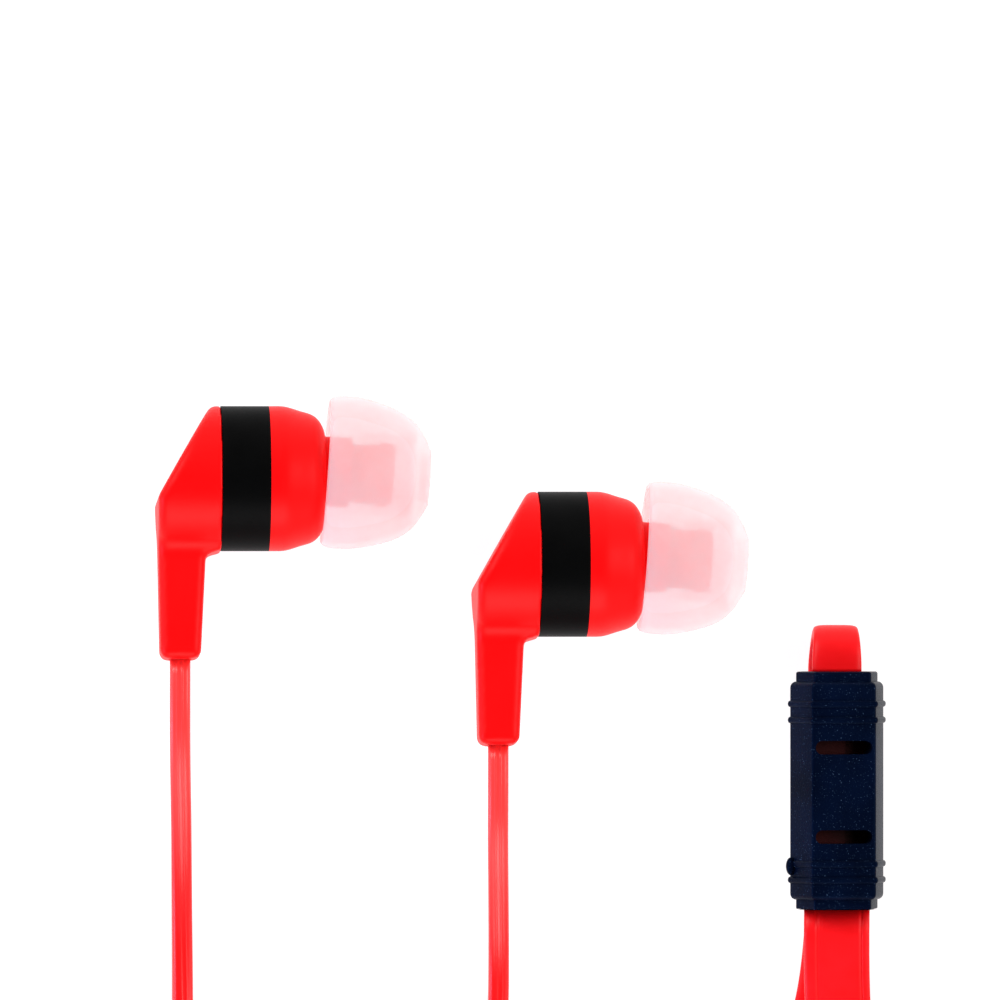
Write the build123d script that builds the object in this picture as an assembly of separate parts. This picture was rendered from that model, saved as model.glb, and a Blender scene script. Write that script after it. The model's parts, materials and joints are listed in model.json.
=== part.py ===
"""Wired in-ear earphones with a flat cable, one STEP file for each separate piece.

Millimetres, +Z up. The earphones lie on the plane z = 0, with their leads running along -Y.
The origin is at the bottom centre of the two earpieces. Each earpiece is first modelled in its own
frame: +X along the housing from the rear cover to the ear tip with x = 0 at the band's rear edge,
and -Y down the stem.
"""
import math
import os

from build123d import *

# ---- placing of the earpieces -----------------------------------------------------------------
EARPIECES = {"left": (-18.62, 7.42), "right": (6.98, 0.52)}  # where each housing axis starts
AXIS_HEIGHT = 6.83
PITCH = 3.4  # degrees that the ear tip's end points down
ROLL = 5.0  # degrees that the stem's end is lifted

# ---- housing ----------------------------------------------------------------------------------
HOUSING_R = 5.85
WALL = 0.8
BAND_LENGTH = 3.87
SPIGOT_R = 4.98
BAND_BORE_R = 5.03
STEM_END = -14.63
STEM_DEPTH = 4.1
STEM_X = -3.3  # the middle of the stem's end
STEM_BORE_R = 0.9
COVER_EDGE = 0.7  # rounding of the rear cover's outer edges
FRONT_X = 8.4

# ---- nozzle and ear tip, on an axis of their own ----------------------------------------------
NOZZLE_FRAME = Location((8.5, 0.6, 0), (0, 0, -3.9))
NOZZLE_BASE_R = 2.8
NOZZLE_NECK_R = 2.35
NOZZLE_BEAD_R = 2.6
NOZZLE_BORE_R = 1.8
NOZZLE_END = 5.4
MESH_R = 2.0
TIP_BORE_R = 2.66
TIP_MOUTH_R = 1.9

# ---- driver -----------------------------------------------------------------------------------
DRIVER_R = 4.95
YOKE_R = 2.82
YOKE_BORE_R = 2.45
MAGNET_R = 1.95
VENT_R = 0.45
COIL_R = (2.14, 2.34)

# ---- black sleeve -----------------------------------------------------------------------------
SLEEVE_AT = (31.1, -17.75, 4.85)
SLEEVE_ROLL = 11.0
SLEEVE_LENGTH = 19.2
NECK_LENGTH = 0.8
RIB_PLACES = (7.0, 5.7, -5.9, -7.2)
RIB_THICK = 0.5
SLOT_PLACES = (3.5, -3.7)
SLOT_SIZE = (4.7, 1.1)

# ---- cords ------------------------------------------------------------------------------------
LEAD_D = 1.6
TWIN_SIZE = (4.0, 1.2)
CABLE_SIZE = (5.3, 1.3)
FORK_AT = (28.2, -46.5)
FORK_SIZE = (4.2, 6.0, 1.8)

# Small coils: centre, inner and outer turn radius. Two turns side by side, two turns high.
LEAD_COILS = {"left": (-12.71, -48.0, 7.47, 9.14), "right": (12.4, -47.9, 8.72, 10.39)}
LEAD_COIL_HEIGHT = 3.35
CABLE_COIL = (2.0, -99.7, 27.5, 35.5)
LEAD_TIE_ANGLE, CABLE_TIE_ANGLE = 330, 180
TIE_THICK = 0.4

# Routes, from one end to the other. Coils are separate solids between a run and a tail, and a run
# ends just before it lies along its coil.
LEAD_RUNS = {
    "left": [
        (-21.84, -7.16, 8.3), (-21.84, -10.75, 8.614), (-21.86, -15.2, 7.4), (-21.84, -20.3, 4.5),
        (-21.88, -26.5, 1.9), (-21.84, -34.0, 0.86), (-21.87, -40.0, 0.82), (-21.85, -45.0, 0.82),
    ],
    "right": [
        (3.76, -14.06, 8.3), (3.76, -17.65, 8.614), (3.74, -22.0, 7.3), (3.78, -26.6, 4.2),
        (3.8, -31.2, 1.6), (3.76, -36.5, 0.84), (2.5, -41.0, 0.82), (2.03, -45.0, 0.82),
    ],
}
LEAD_TAILS = {
    "left": [
        (-12.71, -57.14, 2.5), (-6.0, -57.2, 2.2), (1.5, -59.0, 0.9), (10.0, -60.9, 0.82),
        (19.0, -61.6, 0.82), (23.9, -60.4, 0.82), (27.1, -57.8, 0.82), (28.9, -54.0, 0.86), (29.2, -49.5, 0.9),
    ],
    "right": [
        (12.4, -58.29, 2.5), (15.9, -58.45, 2.5), (20.0, -58.45, 1.9), (23.7, -56.7, 1.1),
        (26.3, -53.5, 0.86), (27.2, -49.5, 0.9),
    ],
}
TWIN_RUN = [
    (31.1, -8.15, 4.85), (31.1, -6.6, 4.84), (31.08, -5.4, 4.25), (31.04, -4.87, 2.85), (30.98, -5.4, 1.45),
    (30.92, -6.7, 0.86), (30.86, -8.5, 0.85), (30.85, -12.0, 0.84),
    (30.9, -21.0, 0.85), (30.5, -32.0, 0.85), (29.0, -38.6, 0.85), (28.2, -43.5, 0.85),
]
CABLE_RUN = [
    (31.1, -27.35, 4.85), (31.05, -32.5, 4.4), (31.4, -38.5, 3.4), (34.5, -46.5, 2.75), (36.3, -60.0, 2.75),
    (37.2, -71.0, 2.73), (37.5, -84.5, 2.74), (37.5, -94.5, 2.73),
]
CABLE_TWIST_RUN = 3  # the cable turns onto its edge in the run that starts at this point
CABLE_TWIST_SPAN = (0.3, 0.7)  # and between these shares of that run
CABLE_TAIL = [
    (29.5, -96.0, 2.7), (29.45, -103.3, 2.72), (26.9, -108.7, 2.74), (21.0, -111.7, 2.85), (13.0, -111.4, 3.3),
    (5.0, -110.9, 4.05), (-2.0, -111.88, 5.0), (-8.08, -114.09, 6.37),
]
TWIST_STEPS = 6

# ---- plug -------------------------------------------------------------------------------------
# The plug leans on the cable's coil, with its contacts out over the coil's turns.
PLUG_HEADING = 200.0  # degrees from +X, towards the plug's tip
PLUG_PITCH = 12.0  # degrees up, towards the plug's tip
PLUG_R = 1.75
PLUG_SHOULDER_R = 1.5  # the sleeve contact's end, held in the housing
PLUG_CONTACT_LENGTH = 14.0
PLUG_BODY_LENGTH = 10.5
PLUG_BODY_R = 3.0
PLUG_RELIEF_LENGTH = 4.0

os.makedirs("parts", exist_ok=True)


def save(name, shape):
    """Write one piece, at its place, to its own file."""
    export_step(shape, f"parts/{name}.step")


def turned(points):
    """A solid turned about the X axis, from points (place along the axis, radius)."""
    return revolve(make_face(Polyline(*points, close=True)), Axis.X)


def disc(x_from, x_to, outer, inner=0.0):
    """A disc or ring about the X axis."""
    return turned([(x_from, inner), (x_from, outer), (x_to, outer), (x_to, inner)])


def holes(count, ring_r, hole_r, x_from, x_to):
    """Round holes along X, evenly spaced on a circle."""
    made = []
    for i in range(count):
        angle = 2 * math.pi * i / count
        place = Pos((x_from + x_to) / 2, ring_r * math.cos(angle), ring_r * math.sin(angle))
        made.append(place * Rot(0, 90, 0) * Cylinder(hole_r, x_to - x_from))
    return made


# ---- earpiece pieces --------------------------------------------------------------------------
def rounded_at(face, point, radius):
    """The face with the corner nearest to a point rounded."""
    corner = min(face.vertices(), key=lambda v: math.dist((v.X, v.Y), point))
    return fillet(corner, radius)


def cover_form(inset, open_x):
    """The rear cover's form: its side outline and its rear outline, extruded and crossed."""
    radius = HOUSING_R - inset
    back = (-5.17 + inset, -1.8 + inset / 3)
    inner_corner = (-1.25 - inset, -6.25 + inset)
    side = make_face(Polyline(
        (open_x, radius + 1), (-0.35 + inset / 2, radius + 1), (-0.35 + inset / 2, radius),
        (-0.85 + inset / 2, radius - 0.02), back, (-4.95 + inset, STEM_END + inset),
        (-1.68 - inset, STEM_END + inset), inner_corner, (open_x, -HOUSING_R + inset - 0.05), close=True,
    ))
    side = rounded_at(rounded_at(side, back, 1.0), inner_corner, 0.6)
    stem = Pos(STEM_END / 2 + inset / 2, 0) * Rectangle(-STEM_END - inset, STEM_DEPTH - 2 * inset)
    outline = Circle(radius) + stem
    roots = [v for v in outline.vertices() if -radius < v.X < -1]
    outline = fillet(roots, 1.6)
    block = extrude(Plane.YZ * outline, -8)
    if open_x > 0:
        block += extrude(Plane.YZ * outline, open_x)
    return extrude(side, 8, both=True) & block


def rear_cover():
    """The rear shell, with the stem that the lead comes out of."""
    shell = cover_form(0, 0)
    outer = [e for e in shell.edges() if e.bounding_box().max.X < -0.05]
    shell = fillet(outer, COVER_EDGE)
    stem_fill = Pos(STEM_X, (STEM_END - 8.2) / 2, 0) * Box(6, -STEM_END - 8.2, 8)
    shell -= cover_form(WALL, 1) - stem_fill
    shell -= Pos(STEM_X, STEM_END / 2 - 2, 0) * Rot(90, 0, 0) * Cylinder(STEM_BORE_R, -STEM_END - 4)
    root_r = BAND_BORE_R + 0.2
    spigot = [(-0.4, 4.45), (-0.4, root_r), (0, root_r), (0, SPIGOT_R), (0.6, SPIGOT_R), (0.6, 4.45)]
    return shell + turned(spigot)


def front_housing():
    """The front shell, with the nozzle that carries the ear tip."""
    outer_line = [(4.7, HOUSING_R), (6.4, 5.45), (7.6, 4.99), (8.2, 4.2), (FRONT_X, 3.1)]
    inner_line = [(4.7, HOUSING_R - WALL), (6.2, 4.65), (7.0, 4.2), (7.4, 3.6), (FRONT_X - WALL, 2.9)]
    outer = make_face([
        Line((BAND_LENGTH, 0), (BAND_LENGTH, HOUSING_R)), Line((BAND_LENGTH, HOUSING_R), outer_line[0]),
        Spline(*outer_line, tangents=((1, 0), (0, -1))), Line(outer_line[-1], (FRONT_X, 0)),
        Line((FRONT_X, 0), (BAND_LENGTH, 0)),
    ])
    inner_start = (BAND_LENGTH - 1, HOUSING_R - WALL)
    inner_end = (FRONT_X - WALL, 0)
    inner = make_face([
        Line((BAND_LENGTH - 1, 0), inner_start), Line(inner_start, inner_line[0]),
        Spline(*inner_line, tangents=((1, 0), (0, -1))), Line(inner_line[-1], inner_end),
        Line(inner_end, (BAND_LENGTH - 1, 0)),
    ])
    nozzle = turned([
        (-1.0, 0), (-1.0, NOZZLE_BASE_R), (1.9, NOZZLE_BASE_R), (1.95, NOZZLE_NECK_R), (4.1, NOZZLE_NECK_R),
        (4.35, NOZZLE_BEAD_R), (4.7, NOZZLE_BEAD_R), (NOZZLE_END, 2.35), (NOZZLE_END, 0),
    ])
    bore = disc(-3, NOZZLE_END + 1, NOZZLE_BORE_R) + disc(NOZZLE_END - 0.35, NOZZLE_END + 1, MESH_R + 0.02)
    shell = revolve(outer, Axis.X) - revolve(inner, Axis.X)
    shell = shell + NOZZLE_FRAME * nozzle - NOZZLE_FRAME * bore
    back, root, root_r = BAND_LENGTH - 0.4, BAND_LENGTH + 0.3, BAND_BORE_R + 0.2
    spigot = [(back, 4.5), (back, SPIGOT_R), (BAND_LENGTH, SPIGOT_R), (BAND_LENGTH, root_r), (root, root_r),
              (root, 4.5)]
    return shell + turned(spigot)


def nozzle_mesh():
    """The perforated disc in the nozzle's mouth."""
    plate = disc(NOZZLE_END - 0.3, NOZZLE_END - 0.15, MESH_R)
    for count, ring_r in ((1, 0), (6, 0.7), (12, 1.4)):
        plate -= holes(count, ring_r, 0.2, NOZZLE_END - 0.4, NOZZLE_END)
    return NOZZLE_FRAME * plate


def ear_tip():
    """The silicone tip: a skirt turned back over a core that grips the nozzle."""
    skirt = Spline((0.12, 5.98), (0.7, 6.14), (2.2, 6.14), (3.7, 5.87), (5.3, 5.37), (6.5, 4.75), (7.3, 4.05),
                   (7.85, 3.2), (8.2, 2.55))
    lining = Spline((5.6, 3.45), (6.25, 3.85), (6.0, 4.4), (4.9, 4.95), (3.5, 5.36), (2.1, 5.6), (0.12, 5.6))
    section = make_face([
        skirt, ThreePointArc((8.2, 2.55), (8.36, 2.15), (8.1, TIP_MOUTH_R)),
        Polyline((8.1, TIP_MOUTH_R), (5.65, TIP_MOUTH_R), (5.5, TIP_BORE_R), (2.05, TIP_BORE_R),
                 (2.05, NOZZLE_BASE_R + 0.08), (0.25, NOZZLE_BASE_R + 0.08), (0.25, 3.4), (5.6, 3.45)),
        lining, ThreePointArc((0.12, 5.6), (-0.06, 5.79), (0.12, 5.98)),
    ])
    return NOZZLE_FRAME * revolve(section, Axis.X)


def driver_frame():
    """The basket that holds the magnet system and the diaphragm."""
    frame = turned([
        (1.0, YOKE_R + 0.02), (1.0, 4.6), (2.4, 4.6), (2.4, DRIVER_R), (3.0, DRIVER_R), (3.0, 4.2),
        (1.4, 4.2), (1.4, YOKE_R + 0.02),
    ])
    return frame - holes(6, 3.7, 0.4, 0.8, 1.6)


def diaphragm():
    """The thin dome and the roll around it, one moulded film."""
    film = 0.07
    line = [Spline((2.9, 0), (2.8, 1.2), (2.52, 2.25), tangents=((0, 1), (-1, 1))),
            Spline((2.52, 2.25), (2.8, 3.2), (2.55, 4.05), tangents=((1, 1), (-1, 1)))]
    back = [Spline((2.9 - film, 0), (2.8 - film, 1.18), (2.52 - film, 2.25), tangents=((0, 1), (-1, 1))),
            Spline((2.52 - film, 2.25), (2.8 - film, 3.2), (2.55 - film, 4.05), tangents=((1, 1), (-1, 1)))]
    ends = [Line((2.55, 4.05), (2.55 - film, 4.05)), Line((2.9 - film, 0), (2.9, 0))]
    return revolve(make_face(line + back + ends), Axis.X)


def driver_cover():
    """The perforated plate over the diaphragm."""
    cover = turned([(3.0, 4.4), (3.0, DRIVER_R), (3.4, DRIVER_R), (3.4, 0), (3.25, 0), (3.25, 4.4)])
    for count, ring_r in ((1, 0), (6, 1.5), (12, 3.0)):
        cover -= holes(count, ring_r, 0.35, 3.2, 3.5)
    return cover


def cable_knot():
    """The lead's end inside the stem, with the knot that keeps it there."""
    stub = Pos(STEM_X, (STEM_END - 6.6) / 2, 0) * Rot(90, 0, 0) * Cylinder(LEAD_D / 2, -STEM_END - 6.6)
    knot = Pos(STEM_X, -6.4, 0) * Rot(90, 0, 0) * Torus(0.45, 0.45)
    return stub + knot + Pos(STEM_X, -6.4, 0) * Sphere(0.6)


def inner_wires():
    """Two thin wires from the knot to the driver's circuit board."""
    wires = []
    for side in (-1, 1):
        line = FilletPolyline(
            (STEM_X, -5.62, side * 0.3), (STEM_X, -3.6, side * 0.6), (-1.6, -2.4, side * 1.1),
            (-0.32, -2.4, side * 1.1), radius=[0.8, 0.5],
        )
        wires.append(sweep(Plane(origin=line @ 0, z_dir=line % 0) * Circle(0.14), line))
    return Compound(wires)


def earpiece_parts():
    """Every piece of one earpiece in the earpiece's own frame."""
    board = disc(-0.3, 0.1, 3.9, 1.1) - Pos(-0.1, 3.2, 0) * Box(1, 3, 3)
    return {
        "rear_cover": rear_cover(),
        "band_ring": disc(0, BAND_LENGTH, HOUSING_R, BAND_BORE_R),
        "front_housing": front_housing(),
        "nozzle_mesh": nozzle_mesh(),
        "ear_tip": ear_tip(),
        "driver_frame": driver_frame(),
        "yoke_cup": turned([(0.4, VENT_R), (0.4, YOKE_R), (1.8, YOKE_R), (1.8, YOKE_BORE_R),
                            (0.8, YOKE_BORE_R), (0.8, VENT_R)]),
        "magnet": disc(0.8, 1.4, MAGNET_R, VENT_R),
        "top_plate": disc(1.4, 1.8, MAGNET_R + 0.05, VENT_R),
        "voice_coil": disc(1.35, 2.44, COIL_R[1], COIL_R[0]),
        "diaphragm": diaphragm(),
        "driver_cover": driver_cover(),
        "driver_board": board,
        "rear_damper": disc(0.88, 1.0, 4.5, 3.0),
        "cable_knot": cable_knot(),
        "inner_wires": inner_wires(),
    }


# ---- black sleeve -----------------------------------------------------------------------------
def sleeve_section(grow, length):
    """A prism along Y with the sleeve's six-sided section, grown or shrunk by an offset."""
    half_width, half_thick, panel = 3.87 + grow, 2.75 + grow, 2.6 + grow * 0.6
    section = make_face(Polyline(
        (half_width, 0), (panel, half_thick), (-panel, half_thick), (-half_width, 0),
        (-panel, -half_thick), (panel, -half_thick), close=True,
    ))
    section = fillet(section.vertices(), 0.3)
    return extrude(Plane.XZ * section, length / 2, both=True)


def sleeve_parts():
    """The two black shells and the red core that shows through the windows."""
    body_length = SLEEVE_LENGTH - 2 * NECK_LENGTH
    shell = sleeve_section(0, body_length)
    shell = chamfer(shell.faces().sort_by(Axis.Y)[0].edges() + shell.faces().sort_by(Axis.Y)[-1].edges(), 0.2)
    shell += sleeve_section(-0.45, SLEEVE_LENGTH)
    for y in RIB_PLACES:
        shell += Pos(0, y, 0) * sleeve_section(0.18, RIB_THICK)
    shell -= sleeve_section(-1.1, 15.6)
    top_stub = Pos(0, SLEEVE_LENGTH / 2 - 1, 0) * Box(TWIN_SIZE[0], 2, TWIN_SIZE[1])
    bottom_stub = Pos(0, -SLEEVE_LENGTH / 2 + 1, 0) * Box(CABLE_SIZE[0], 2, CABLE_SIZE[1])
    shell -= [top_stub, bottom_stub]
    for y in SLOT_PLACES:
        slot = extrude(SlotOverall(*SLOT_SIZE), 4)
        shell -= Pos(0, y, 0) * slot
    core = Pos(-0.9, 0, 0) * Box(2.6, SLEEVE_LENGTH - 3.9, 2.4) + top_stub + bottom_stub
    core += Box(4.9, SLEEVE_LENGTH - 3.9, 1.2)
    place = Location(SLEEVE_AT, (0, SLEEVE_ROLL, 0))
    shell -= core
    half = Box(20, 40, 10)
    return {
        "sleeve_front_shell": place * (shell & Pos(0, 0, 5) * half),
        "sleeve_back_shell": place * (shell & Pos(0, 0, -5) * half),
        "sleeve_core": place * core,
    }


# ---- cords ------------------------------------------------------------------------------------
def route_line(name, points):
    """Straight runs joined by tangent arcs, each arc as large as its two runs allow."""
    radii = []
    for before, here, after in zip(points, points[1:], points[2:]):
        first, second = Vector(here) - Vector(before), Vector(after) - Vector(here)
        half_turn = math.radians(first.get_angle(second)) / 2
        radii.append(0.45 * min(first.length, second.length) / math.tan(half_turn))
    print(f"{name}: radii", [round(r, 1) for r in radii])
    return FilletPolyline(*points, radius=radii)


def report_tube(name, tube, area, line):
    """Compare a tube's volume with its section times its length."""
    print(f"{name}: length {line.length:.1f}, volume {tube.volume:.2f}, expected {area * line.length:.2f}")


def round_tube(name, points, diameter):
    """A round cord along a route."""
    line = route_line(name, points)
    tube = sweep(Plane(origin=line @ 0, z_dir=line % 0) * Circle(diameter / 2), line)
    report_tube(name, tube, math.pi * diameter**2 / 4, line)
    return tube


def flat_section(at, heading, across, size):
    """A flat cord's section at a point, square to its heading, with its width along another direction."""
    return Plane(origin=at, x_dir=across, z_dir=heading) * Rectangle(*size)


def flat_tube(name, points, size, across):
    """A flat cord along a route, whose width starts along one direction."""
    line = route_line(name, points)
    heading = line % 0
    wide = (Vector(across) - heading * Vector(across).dot(heading)).normalized()
    tube = sweep(flat_section(line @ 0, heading, wide, size), line)
    report_tube(name, tube, size[0] * size[1], line)
    return tube


def twisting_tube(name, points, size, twist_run, twist_span):
    """A flat cord that lies flat at first, and turns onto its edge within one straight run."""
    before, after = Vector(points[twist_run]), Vector(points[twist_run + 1])
    start, end = (before + (after - before) * share for share in twist_span)
    heading = (after - before).normalized()
    flat = (Vector(1, 0, 0) - heading * heading.X).normalized()
    turned_by = [90 * i / TWIST_STEPS for i in range(TWIST_STEPS + 1)]
    across = [flat.rotate(Axis((0, 0, 0), heading), angle) for angle in turned_by]
    places = [start + (end - start) * (i / TWIST_STEPS) for i in range(TWIST_STEPS + 1)]
    twist = loft([flat_section(at, heading, wide, size) for at, wide in zip(places, across)], ruled=True)
    flat_part = flat_tube(f"{name}, flat", [tuple(start), *points[twist_run::-1]], size, across[0])
    edge_part = flat_tube(f"{name}, on edge", [tuple(end), *points[twist_run + 1:]], size, across[-1])
    return flat_part + twist + edge_part


def coil_ring(centre, inner, outer, half_thick, height):
    """The outer shape of a coil lying flat: a ring that holds all its turns."""
    ring = Cylinder(outer + half_thick, height) - Cylinder(inner - half_thick, height)
    return Pos(centre[0], centre[1], height / 2) * ring


def tie(centre, angle, inner, outer, half_thick, height, width):
    """A strap round a coil at one place: inside and outside of the ring, under it and over it."""
    gap = 0.05
    radial, tall = outer - inner + 2 * (half_thick + gap), height + 2 * gap
    loop = Box(radial + 2 * TIE_THICK, width, tall + 2 * TIE_THICK)
    loop = fillet(loop.edges().filter_by(Axis.Y), 0.35) - Box(radial, width, tall)
    middle = (inner + outer) / 2
    spin = Pos(centre[0], centre[1], 0) * Rot(0, 0, angle)
    return spin * Pos(middle, 0, tall / 2 + TIE_THICK) * loop


def lead_cords(side):
    """One ear lead: a run, a tied coil and a tail to the fork."""
    x, y, inner, outer = LEAD_COILS[side]
    half = LEAD_D / 2
    run = round_tube(f"ear_lead_{side}_run", LEAD_RUNS[side], LEAD_D)
    tail = round_tube(f"ear_lead_{side}_tail", LEAD_TAILS[side], LEAD_D)
    ring = coil_ring((x, y), inner, outer, half + 0.02, LEAD_COIL_HEIGHT)
    strap = tie((x, y), LEAD_TIE_ANGLE, inner, outer, half + 0.02, LEAD_COIL_HEIGHT, 3.0)
    return {
        f"ear_lead_{side}_run": run - ring,
        f"ear_lead_{side}_coil": ring - strap,
        f"ear_lead_{side}_tail": tail - ring,
        f"ear_lead_{side}_tie": strap,
    }


def cable_cords():
    """The flat cable: a run that turns onto its edge, a tied coil and a tail to the plug."""
    x, y, inner, outer = CABLE_COIL
    half, height = CABLE_SIZE[1] / 2, CABLE_SIZE[0]
    ring = coil_ring((x, y), inner, outer, half + 0.02, height + 0.02)
    strap = tie((x, y), CABLE_TIE_ANGLE, inner, outer, half + 0.02, height + 0.02, 6.0)
    run = twisting_tube("main_cable_run", CABLE_RUN, CABLE_SIZE, CABLE_TWIST_RUN, CABLE_TWIST_SPAN)
    tail = flat_tube("main_cable_tail", CABLE_TAIL, CABLE_SIZE, (0, 0, 1))
    return {
        "main_cable_run": run - ring,
        "main_cable_coil": ring - strap,
        "main_cable_tail": tail - ring,
        "main_cable_tie": strap,
    }


def twin_lead():
    """The two ear leads, bonded side by side, folded over behind the sleeve."""
    return flat_tube("twin_lead", TWIN_RUN, TWIN_SIZE, (1, 0, 0))


def lead_fork():
    """The moulded piece where the bonded ribbon parts into two leads."""
    width, length, thick = FORK_SIZE
    block = fillet(Box(width, length, thick).edges().filter_by(Axis.Y), 0.6)
    return Pos(FORK_AT[0], FORK_AT[1], thick / 2) * block


# ---- plug -------------------------------------------------------------------------------------
def plug_parts():
    """A straight 3.5 mm plug, built along X with its tip at x = 0."""
    contact = PLUG_CONTACT_LENGTH
    body_end = contact + PLUG_BODY_LENGTH
    relief_end = body_end + PLUG_RELIEF_LENGTH
    tip = turned([(0, 0), (0.1, 0.55), (1.3, 1.72), (2.0, PLUG_R), (2.9, 1.25), (3.4, 1.25), (4.0, 1.6),
                  (4.0, 0.55), (15.5, 0.55), (15.5, 0)])
    insulator = turned([(4.0, 0.57), (4.0, PLUG_R), (4.6, PLUG_R), (4.6, 0.78), (6.6, 0.78), (6.6, PLUG_R),
                        (7.2, PLUG_R), (7.2, 0.78), (15.4, 0.78), (15.4, 0.57)])
    body = disc(contact, body_end, PLUG_BODY_R)
    body = chamfer(body.edges().sort_by(Axis.X)[0], 0.8)
    body = body - disc(contact - 1, contact + 2.0, PLUG_SHOULDER_R + 0.01)
    for i in range(5):
        start = contact + 3.2 + 1.2 * i
        body -= disc(start, start + 0.5, PLUG_BODY_R + 1, PLUG_BODY_R - 0.2)
    relief = turned([(body_end, 0), (body_end, 2.9), (body_end + 0.6, 2.9), (relief_end, 2.75), (relief_end, 0)])
    place = Pos(*plug_tip()) * Rot(0, 0, PLUG_HEADING + 180) * Rot(0, PLUG_PITCH, 0)
    pieces = {
        "plug_tip_contact": tip,
        "plug_ring_contact": disc(4.6, 6.6, PLUG_R, 0.8),
        "plug_sleeve_contact": turned([
            (7.2, 0.8), (7.2, PLUG_R), (contact, PLUG_R), (contact, PLUG_SHOULDER_R),
            (contact + 1.95, PLUG_SHOULDER_R), (contact + 1.95, 0.8),
        ]),
        "plug_insulator": insulator,
        "plug_housing": body,
        "plug_strain_relief": relief,
    }
    return {name: place * piece for name, piece in pieces.items()}


def plug_tip():
    """Where the plug's tip lies, ahead of the cable's end."""
    reach = PLUG_CONTACT_LENGTH + PLUG_BODY_LENGTH + PLUG_RELIEF_LENGTH
    heading, pitch = math.radians(PLUG_HEADING), math.radians(PLUG_PITCH)
    x, y, z = CABLE_TAIL[-1]
    level = reach * math.cos(pitch)
    return x + level * math.cos(heading), y + level * math.sin(heading), z + reach * math.sin(pitch)


# ---- writing ----------------------------------------------------------------------------------
def without(piece, neighbours):
    """A cord cut back to where it meets the faces of its neighbours."""
    for neighbour in neighbours:
        piece -= neighbour
    return piece


def main():
    earpiece = earpiece_parts()
    made = {**sleeve_parts(), **cable_cords(), **plug_parts(), "lead_fork": lead_fork(), "twin_lead": twin_lead()}
    for side, (x, y) in EARPIECES.items():
        place = Location((x, y, AXIS_HEIGHT)) * Rot(0, PITCH, 0) * Rot(-ROLL, 0, 0)
        made |= {f"{name}_{side}": place * piece for name, piece in earpiece.items()}
        made |= lead_cords(side)
        print(side, "lead exit", [round(v, 3) for v in (place * Pos(STEM_X, STEM_END, 0)).position])
        tail = f"ear_lead_{side}_tail"
        made[tail] = without(made[tail], [made["lead_fork"]])
    sleeve = [made[name] for name in made if name.startswith("sleeve")]
    made["twin_lead"] = without(made["twin_lead"], [*sleeve, made["lead_fork"]])
    made["main_cable_run"] = without(made["main_cable_run"], sleeve)
    made["main_cable_tail"] = without(made["main_cable_tail"], [made["plug_strain_relief"]])
    for name, piece in made.items():
        save(name, piece)


main()
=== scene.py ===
"""Wired in-ear earphones with a flat cable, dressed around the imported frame.

Metres, +Z up. The earphones lie on the floor at z = 0 and their leads run along -Y.
"""
import json
import math

import bmesh
import bpy
from mathutils import Matrix, Vector


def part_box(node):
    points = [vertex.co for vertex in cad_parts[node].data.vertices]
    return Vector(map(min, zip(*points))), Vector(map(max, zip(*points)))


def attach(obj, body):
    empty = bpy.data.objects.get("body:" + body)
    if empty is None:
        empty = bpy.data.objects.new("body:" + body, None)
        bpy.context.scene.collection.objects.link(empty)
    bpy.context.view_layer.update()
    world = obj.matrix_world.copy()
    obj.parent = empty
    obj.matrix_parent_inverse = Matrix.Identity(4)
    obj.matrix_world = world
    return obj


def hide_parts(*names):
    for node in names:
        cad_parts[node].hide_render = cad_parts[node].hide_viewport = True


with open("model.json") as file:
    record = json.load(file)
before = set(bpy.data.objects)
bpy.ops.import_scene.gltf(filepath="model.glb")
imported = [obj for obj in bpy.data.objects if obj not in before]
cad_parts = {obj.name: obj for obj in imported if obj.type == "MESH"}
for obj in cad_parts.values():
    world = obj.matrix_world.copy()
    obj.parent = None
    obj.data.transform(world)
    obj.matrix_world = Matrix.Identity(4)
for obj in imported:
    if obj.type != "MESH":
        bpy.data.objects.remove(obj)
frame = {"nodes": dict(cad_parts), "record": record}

MM = 0.001
UP = Vector((0, 0, 1))
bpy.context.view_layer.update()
nodes = frame["nodes"]

# ---- driving dimensions, in millimetres -------------------------------------------------------
PITCH, ROLL = math.radians(3.4), math.radians(5.0)
BAND_LENGTH = 3.87
NOZZLE_AT, NOZZLE_TURN = (8.5, 0.6, 0), math.radians(-3.9)
LEAD_SIZE = (1.66, 1.36)
TWIN_SIZE = (4.0, 1.2)
CABLE_SIZE = (5.3, 1.3)
FLOOR_GAP = 0.02  # between a cord and the floor

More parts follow.
